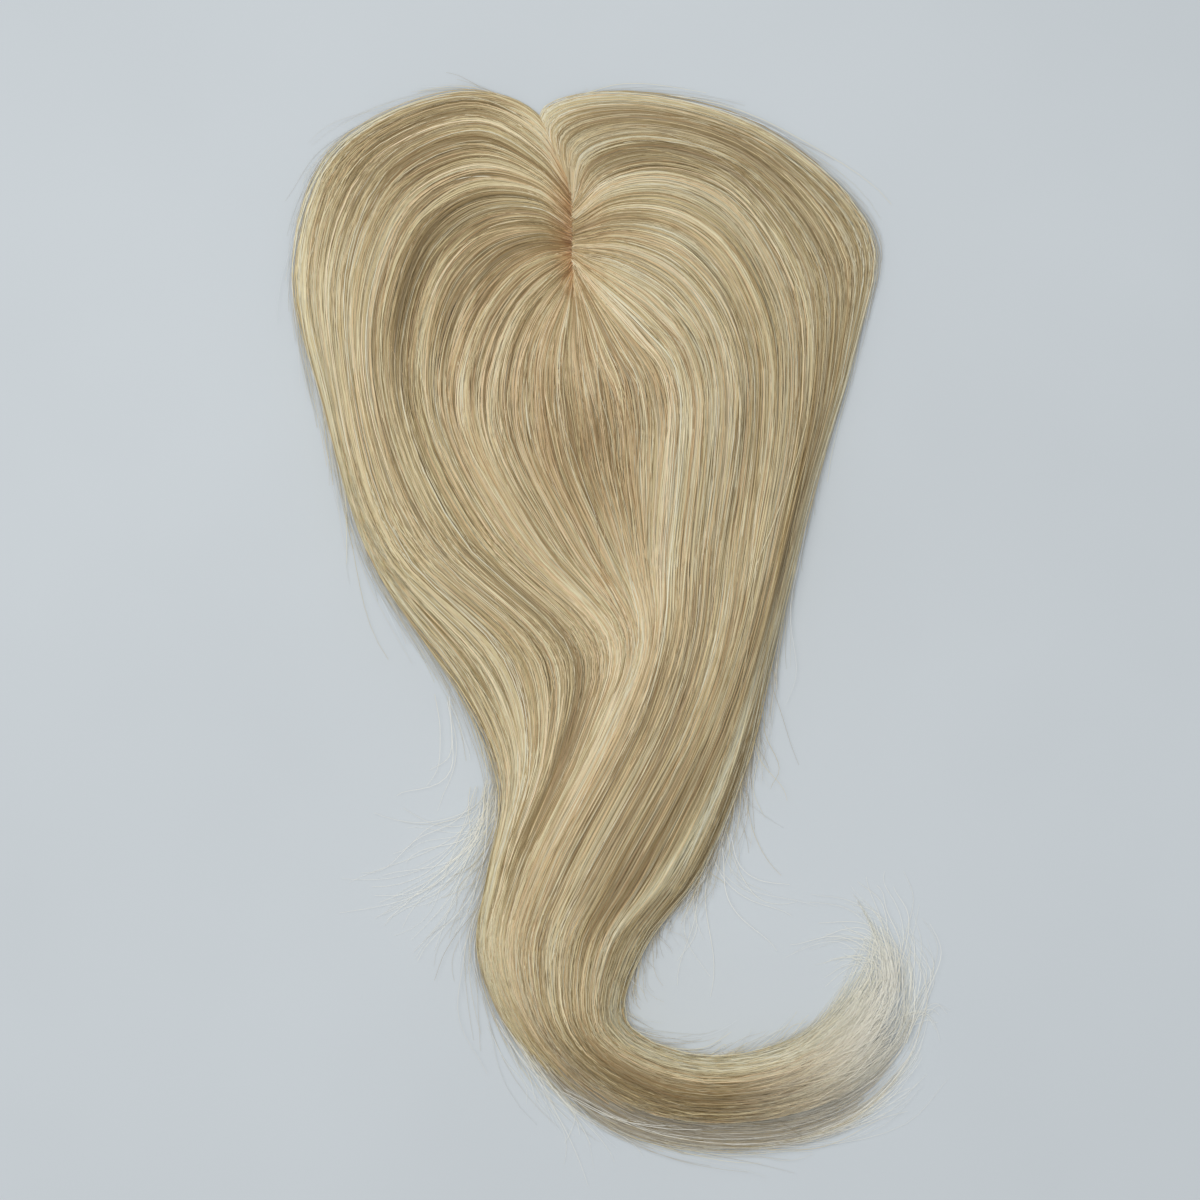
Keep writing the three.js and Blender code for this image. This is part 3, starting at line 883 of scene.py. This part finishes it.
class TOPPER_OT_comb_strands(bpy.types.Operator):
    """Comb the strands of every lock from the parting to the tip of the tail"""

    bl_idname = "topper.comb_strands"
    bl_label = "Comb strands"

    seed = 410
    left_thinning = 0.66
    right_thinning = 0.74

    # Places where strands end, and the draws below or above which they end early or late.
    usual_end = 14.85
    usual_spread = (2.0, 0.45)
    short_below = 0.30
    short_ends = (9.5, 14.0)
    long_above = 0.94
    long_ends = (14.6, LAST_PLACE)
    layered_below = 0.28
    layered_ends = (8.0, 10.2)
    left_end = 9.3
    left_length = 2.0
    left_lengthening = 0.25
    left_spread = (1.6, 2.6)

    # How tresses, tufts and strands lie across the hair, with the waves that they make in their length.
    tuft_start = (0.1, 0.9)
    tuft_breadth = 1.2
    tuft_narrowing = 0.25
    narrowing_run = (2, 9)
    tress_wander = 0.44 * MM
    tuft_wander = 0.32 * MM
    strand_wander = 0.55 * MM
    stray_share = 0.12
    stray_drift = 4.4 * MM
    tress_cycles = (0.8, 2.5)
    tuft_cycles = (1.0, 4.0)
    strand_cycles = (1.0, 7.0)
    stray_cycles = (0.3, 1.2)
    lift_cycles = (2.0, 9.0)
    slow_cycles = (0.5, 2.0)
    freeing_run = (0.2, 3.5)
    least_wander_spacing = 25 * MM
    least_drift_spacing = 80 * MM
    lane_limits = (-0.012, 1.012)
    fray = 0.2
    fraying_run = (13.0, LAST_PLACE)
    root_scatter = 0.5 * MM
    root_run = (0, 0.9)

    # How deep in the hair they lie. Draws below or above these lie deep or lowest of all.
    top_layer = 0.15
    deep_below = 0.05
    deep_layer = (0.1, 0.8)
    lowest_above = 0.87
    tress_rise = 0.12 * MM
    tuft_rise = 0.10 * MM
    strand_rise = 0.28 * MM
    stray_rise = 0.45 * MM
    least_height = 0.2 * MM

    # Width, roll and shade.
    end_taper = 0.5
    taper_run = (0.86, 1.0)
    width_range = (0.65, 1.3)
    tuft_roll = 0.3
    strand_roll = 0.8
    roll_wave = 0.4
    usual_shade = 0.5
    tress_shade = 0.07
    tuft_shade = 0.08
    strand_shade = 0.25
    shade_wave = 0.04
    root_contrast = 1.6
    root_contrast_run = (1.5, 4.5)
    accent = 0.3
    dark_below = 0.05
    pale_above = 0.94
    past_root_tone = 0.05

    def execute(self, context):
        settings = context.scene.topper_hair
        material = strand_material(settings)
        for index, lock in enumerate(LOCKS):
            piece = self.lock_piece(settings, index, lock, material)
            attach(piece, "root")
            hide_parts(f"lock_{lock}")
        return {"FINISHED"}

    def thinned_edge(self, index, share):
        """Shares across a lock, sparser towards the outline in the two outer locks."""
        if index == 0:
            return share**self.left_thinning
        if index == len(LOCKS) - 1:
            return 1 - (1 - share) ** self.right_thinning
        return share

    def reaches(self, rng, index, count):
        """Places where the strands end: near the tip on the right, and well before it on the left."""
        reach = self.usual_end - rng.gamma(*self.usual_spread, count)
        draw = rng.random(count)
        short, long = draw < self.short_below, draw > self.long_above
        reach[short] = rng.uniform(*self.short_ends, short.sum())
        reach[long] = rng.uniform(*self.long_ends, long.sum())
        if index == len(LOCKS) - 1:
            layered = draw < self.layered_below
            reach[layered] = rng.uniform(*self.layered_ends, layered.sum())
        if index <= len(LOCKS) // 2:
            length = self.left_length + self.left_lengthening * index
            reach = self.left_end + length * rng.beta(*self.left_spread, count)
        return reach

    def lock_piece(self, settings, index, lock, material):
        """One lock's strands as one piece: tresses hold tufts, and tufts hold strands."""
        hair = combed_hair()
        rng = np.random.default_rng(self.seed + index)
        count, tufts, tresses = settings.strands, settings.tufts, settings.tresses
        tuft_share = (np.arange(tufts) + rng.uniform(*self.tuft_start, tufts)) / tufts
        tuft_lane = (index + self.thinned_edge(index, tuft_share)) / len(LOCKS)
        tress_of = np.arange(tufts) * tresses // tufts
        tress_shade = rng.normal(0, self.tress_shade, tresses)[tress_of]
        tuft_shade = tress_shade + rng.normal(0, self.tuft_shade, tufts)
        tuft_rise = rng.normal(0, self.tress_rise, tresses)[tress_of] + rng.normal(0, self.tuft_rise, tufts)
        tuft_roll = rng.normal(0, self.tuft_roll, tresses)[tress_of] + rng.normal(0, self.tuft_roll, tufts)
        tuft = rng.integers(0, tufts, count)
        spread = rng.normal(0, self.tuft_breadth, count) / tufts / len(LOCKS)
        even = ribbon_shares()[None, :]
        share = even * self.reaches(rng, index, count)[:, None] / LAST_PLACE
        place = share * LAST_PLACE

        # Lanes of the strands from root to end.
        tress_wave = slow_waves(rng, tresses, np.repeat(even, tresses, axis=0), *self.tress_cycles)
        tuft_wave = slow_waves(rng, tufts, np.repeat(even, tufts, axis=0), *self.tuft_cycles)
        wander = self.tress_wander * tress_wave[tress_of] + self.tuft_wander * tuft_wave
        wander = wander[tuft] + self.strand_wander * slow_waves(rng, count, share, *self.strand_cycles)
        stray = rng.random(count) < self.stray_share
        drift = np.where(stray, rng.normal(0, self.stray_drift, count), 0)
        drift = drift[:, None] * slow_waves(rng, count, share, *self.stray_cycles)
        free = smooth_step(*self.freeing_run, place)
        narrow = 1 - self.tuft_narrowing * smooth_step(*self.narrowing_run, place)
        lane = tuft_lane[tuft][:, None] + spread[:, None] * narrow
        spacing = hair.read(hair.spacing, lane, place)
        wander = wander / np.maximum(spacing, self.least_wander_spacing)
        drift = drift / np.maximum(spacing, self.least_drift_spacing)
        lane = np.clip(lane + free * (wander + drift), *self.lane_limits)
        lane = lane + rng.normal(0, self.fray, count)[:, None] * smooth_step(*self.fraying_run, place)

        # Heights. What is past the edges lies as the edges do.
        depth = 1 - np.abs(rng.normal(0, self.top_layer, count))
        layer = rng.random(count)
        deep, lowest = layer < self.deep_below, layer > self.lowest_above
        depth[deep] = rng.uniform(*self.deep_layer, deep.sum())
        depth[lowest] = 0
        inside = np.clip(lane, 0, 1)
        bed, crest = hair.read(hair.bed, inside, place), hair.read(hair.crest, inside, place)
        risen = smooth_step(*ROOT_RISE, place)
        lift = self.strand_rise * slow_waves(rng, count, share, *self.lift_cycles)
        lift = tuft_rise[tuft][:, None] + lift + np.where(stray, self.stray_rise, 0)[:, None]
        lift[lowest] = 0
        height = bed + (crest - bed) * np.clip(depth, 0, 1)[:, None] * risen + lift * free
        height = np.maximum(height, bed + self.least_height)
        plan = hair.read(hair.plan, lane, place)
        rooted = 1 - smooth_step(*self.root_run, place)
        root_shift = rng.normal(0, self.root_scatter, (count, 1, 2)) * rooted[..., None]
        paths = np.dstack([plan + root_shift, height])
        facing = hair.read(hair.facing, inside, place)

        # Widths, rolls and tones.
        taper = 1 - self.end_taper * smooth_step(*self.taper_run, np.repeat(even, count, axis=0))
        widths = settings.width * rng.uniform(*self.width_range, count)[:, None] * taper
        rolls = tuft_roll[tuft][:, None] + rng.normal(0, self.strand_roll, count)[:, None]
        rolls = settings.roll * (rolls + self.roll_wave * slow_waves(rng, count, share, *self.slow_cycles))
        shade = self.usual_shade + tuft_shade[tuft][:, None]
        shade = shade + rng.normal(0, self.strand_shade, count)[:, None]
        shade = shade + hair.read(hair.shade, inside, place)
        shade = shade + self.shade_wave * slow_waves(rng, count, share, *self.slow_cycles)
        near_root = 1 - smooth_step(*self.root_contrast_run, place)
        shade = shade + self.root_contrast * tress_shade[tuft][:, None] * near_root
        draw = rng.random(count)
        dark, pale = draw < self.dark_below, draw > self.pale_above
        shade = shade + np.where(dark, -self.accent, np.where(pale, self.accent, 0))[:, None]
        cast = pick_casts(rng, tuft_lane[tuft] + spread)
        tones = tone_place(cast[:, None], shade)

        # The reddish tone of the roots shows in full only left of the parting.
        if index >= len(LOCKS) // 2:
            share = np.maximum(share, self.past_root_tone)
        return mesh_piece(f"strands_{lock}", *ribbons(paths, facing, widths, rolls, tones, share), material)


class TOPPER_OT_tease_wisps(bpy.types.Operator):
    """Tease loose hairs out of the outline and lay strays beside it"""

    bl_idname = "topper.tease_wisps"
    bl_label = "Tease wisps"

    rows = 16
    least_height = 0.3 * MM

    # Hairs that leave an edge. Their start inside it and the height of their ends are in millimetres.
    edge_seed = 900
    inward_step = 0.04
    run_range = (0.35, 1.5)
    reach_spread = (2.0, 0.5)
    leaving_power = (1.1, 2.8)
    start_inside = (0.3, 2.0)
    edge_cycles = (0.5, 1.8)
    wave_height = 0.4 * MM
    wave_reach = 0.12
    start_height_share = (0.35, 1.0)
    end_height = (0.4, 3.0)
    falling_power = 0.9
    dark_fade = 0.7
    pale_fade = 0.3

    # Strays beside the hair. Their height at the start is in millimetres.
    stray_seed = 950
    fan_wave = 0.5
    fan_cycles = (0.4, 1.3)
    fan_at_start = 0.3
    fan_growth = 0.7
    length_range = (0.45, 1.08)
    start_scatter = 2.2 * MM
    stray_height = (0.5, 4.0)
    settling = 0.7
    settled_height = 0.35 * MM
    stray_fade = 0.85
    stray_fade_growth = 0.15

    # Widths, rolls and tones of all of them.
    end_taper = 0.6
    width_range = (0.7, 1.4)
    roll_spread = 0.4
    # Share of loose hairs in the silver cast, which paints their sheen or their shadow.
    silver_share = 0.8
    shade_range = (0.2, 1.0)

    def execute(self, context):
        settings = context.scene.topper_hair
        material = strand_material(settings)
        for order, row in enumerate(EDGE_WISPS):
            way = self.edge_paths(row, order)
            self.wisp_piece(settings, f"wisps_{row['name']}", material, row["palest"], *way)
        for order, row in enumerate(STRAYS):
            way = self.stray_paths(row, order)
            self.wisp_piece(settings, f"strays_{row['name']}", material, 1.0, *way)
        return {"FINISHED"}

    def edge_paths(self, row, order):
        """Ways and shares of hairs that follow an edge and leave it little by little."""
        hair = combed_hair()
        rng = np.random.default_rng(self.edge_seed + order)
        count = row["count"]
        inward = self.inward_step if row["lane"] < 1 else -self.inward_step
        step = np.linspace(0, 1, self.rows + 1)[None, :]
        run = row["run"] * rng.uniform(*self.run_range, (count, 1))
        place = rng.uniform(row["begin"], row["end"], (count, 1)) + run * step
        lane = row["lane"] + row["spread"] * rng.random((count, 1)) + np.zeros_like(place)
        edge = hair.read(hair.plan, lane, place)
        outward = unit(edge - hair.read(hair.plan, lane + inward, place))
        reach = row["reach"] * MM * rng.gamma(*self.reach_spread, (count, 1))
        away = reach * step ** rng.uniform(*self.leaving_power, (count, 1))
        away = away - rng.uniform(*self.start_inside, (count, 1)) * MM
        waves = slow_waves(rng, count, np.broadcast_to(step, place.shape), *self.edge_cycles)
        away = away + (self.wave_height + self.wave_reach * reach) * step * waves
        start = hair.read(hair.crest, lane, place) * rng.uniform(*self.start_height_share, (count, 1))
        end = rng.uniform(*self.end_height, (count, 1)) * MM
        height = np.maximum(start + (end - start) * step**self.falling_power, self.least_height)
        share = np.minimum(place / LAST_PLACE, self.dark_fade + self.pale_fade * row["palest"])
        return np.dstack([edge + outward * away[..., None], height]), share, rng

    def stray_paths(self, row, order):
        """Ways and shares of hairs that lie off the body and fan out."""
        rng = np.random.default_rng(self.stray_seed + order)
        count = row["count"]
        step = np.linspace(0, 1, self.rows + 1)
        way = combed_curve(np.array(row["way"], float)[:, None, :] * MM, step)[:, 0] + combed_hair().shift
        shares = np.broadcast_to(step, (count, self.rows + 1))
        turn = rng.normal(0, 1, (count, 1))
        turn = turn + self.fan_wave * slow_waves(rng, count, shares, *self.fan_cycles)
        turn = math.radians(row["fan"]) * turn * (self.fan_at_start + self.fan_growth * shares)
        leg = (way - way[0]) * rng.uniform(*self.length_range, (count, 1, 1))
        swung = np.stack([
            leg[..., 0] * np.cos(turn) - leg[..., 1] * np.sin(turn),
            leg[..., 0] * np.sin(turn) + leg[..., 1] * np.cos(turn),
        ], axis=-1)
        plan = way[0] + swung + rng.normal(0, self.start_scatter, (count, 1, 2))
        height = rng.uniform(*self.stray_height, (count, 1)) * MM * (1 - self.settling * step)
        height = height + self.settled_height
        return np.dstack([plan, height]), self.stray_fade + self.stray_fade_growth * shares, rng

    def wisp_piece(self, settings, name, material, palest, paths, share, rng):
        """Loose hairs along paths as one piece."""
        count, rows = share.shape
        facing = np.broadcast_to(np.array([0.0, 0.0, 1.0]), paths.shape)
        taper = 1 - self.end_taper * np.linspace(0, 1, rows) ** 2
        widths = settings.wisp_width * rng.uniform(*self.width_range, (count, 1)) * taper
        rolls = np.broadcast_to(rng.normal(0, self.roll_spread, (count, 1)), share.shape)
        # Most loose hairs take the silver cast of painted sheen and shadow, the rest take ash.
        cast = np.where(rng.random((count, 1)) < self.silver_share, SILVER_SHEEN_AND_SHADE, ASH)
        shade = palest * rng.uniform(*self.shade_range, (count, 1))
        tones = np.broadcast_to(tone_place(cast, shade), share.shape)
        piece = mesh_piece(name, *ribbons(paths, facing, widths, rolls, tones, share), material)
        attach(piece, "root")


class TOPPER_OT_finish_cap(bpy.types.Operator):
    """Give the cap its silk and the clips their paint"""

    bl_idname = "topper.finish_cap"
    bl_label = "Finish cap and clips"

    def execute(self, context):
        settings = context.scene.topper_cap
        finish_nodes(["base"], silk_material(settings))
        finish_nodes(["clip_front", "clip_left", "clip_back", "clip_right"], clip_material(settings))
        return {"FINISHED"}


class TOPPER_OT_set_stage(bpy.types.Operator):
    """Set the table, the lights and the camera"""

    bl_idname = "topper.set_stage"
    bl_label = "Set stage"

    table_half = 3.0
    window_size = 1.2
    window_colour = (1.0, 0.98, 0.95)
    window_place = (-0.3, 0.2, 1.65)
    room_colour = (0.98, 0.99, 1.0, 1)
    sensor_width = 36.0
    picture_middle = (8.6, -107.0)

    def execute(self, context):
        settings = context.scene.topper_stage
        self.lay_table(settings)
        self.hang_lights(context.scene, settings)
        self.place_camera(context.scene, settings)
        return {"FINISHED"}

    def lay_table(self, settings):
        """A wide pale table top with a faint mottle."""
        material, tree, shader = new_material("table_top")
        mottle = object_noise(tree, 6.0, 3.0)[1]
        colour = np.array(settings.table)
        tints = colour_steps(tree, mottle, [(0.3, colour * 0.97), (0.7, colour * 1.02)])
        tree.links.new(tints, shader.inputs["Base Color"])
        shader.inputs["Roughness"].default_value = 0.6
        half = self.table_half
        corners = np.array([(-half, -half, 0), (half, -half, 0), (half, half, 0), (-half, half, 0)])
        places = np.array([[(0, 0), (1, 0), (1, 1), (0, 1)]], float)
        table = mesh_piece("table", corners, np.array([[0, 1, 2, 3]]), places, material)

    def hang_lights(self, scene, settings):
        """A large window of light at the upper left, and even light from all round."""
        window = bpy.data.lights.new("window", "AREA")
        window.energy = settings.window_power
        window.size = self.window_size
        window.color = self.window_colour
        holder = bpy.data.objects.new("window", window)
        holder.location = self.window_place
        holder.rotation_euler = (-holder.location).to_track_quat("-Z", "Y").to_euler()
        scene.collection.objects.link(holder)
        world = bpy.data.worlds.new("room")
        world.use_nodes = True
        room = world.node_tree.nodes["Background"]
        room.inputs["Color"].default_value = self.room_colour
        room.inputs["Strength"].default_value = settings.room_light
        scene.world = world
        scene.view_settings.view_transform = "Standard"

    def place_camera(self, scene, settings):
        """A camera straight above, with the same table in view as the photograph."""
        camera = bpy.data.cameras.new("camera")
        camera.sensor_width = self.sensor_width
        camera.lens = camera.sensor_width * settings.camera_height / settings.frame_width
        holder = bpy.data.objects.new("camera", camera)
        middle = combed_hair().shift + np.array(self.picture_middle) * MM
        holder.location = (*middle, settings.camera_height)
        scene.collection.objects.link(holder)
        scene.camera = holder


OPERATORS = (
    TOPPER_OT_lay_underhair, TOPPER_OT_comb_strands, TOPPER_OT_tease_wisps,
    TOPPER_OT_finish_cap, TOPPER_OT_set_stage,
)
SETTINGS = {
    "topper_hair": TopperHairSettings, "topper_cap": TopperCapSettings, "topper_stage": TopperStageSettings,
}


class TOPPER_PT_sidebar(bpy.types.Panel):
    """Sidebar list of the topper's steps and settings"""

    bl_label = "Hair topper"
    bl_idname = "TOPPER_PT_sidebar"
    bl_space_type = "VIEW_3D"
    bl_region_type = "UI"
    bl_category = "Topper"

    def draw(self, context):
        layout = self.layout
        for operator in OPERATORS:
            layout.operator(operator.bl_idname)
        for name, kind in SETTINGS.items():
            box = layout.box()
            for field in kind.__annotations__:
                box.prop(getattr(context.scene, name), field)


CLASSES = (*SETTINGS.values(), *OPERATORS, TOPPER_PT_sidebar)


def register():
    """Adds the settings, operators and panel."""
    for kind in CLASSES:
        bpy.utils.register_class(kind)
    for name, kind in SETTINGS.items():
        setattr(bpy.types.Scene, name, bpy.props.PointerProperty(type=kind))


def unregister():
    """Takes the settings, operators and panel away again."""
    for name in SETTINGS:
        delattr(bpy.types.Scene, name)
    for kind in reversed(CLASSES):
        bpy.utils.unregister_class(kind)


def main():
    """Builds the topper on its table."""
    register()
    bpy.ops.topper.lay_underhair()
    bpy.ops.topper.comb_strands()
    bpy.ops.topper.tease_wisps()
    bpy.ops.topper.finish_cap()
    bpy.ops.topper.set_stage()
    bpy.context.view_layer.update()


if __name__ == "__main__":
    main()
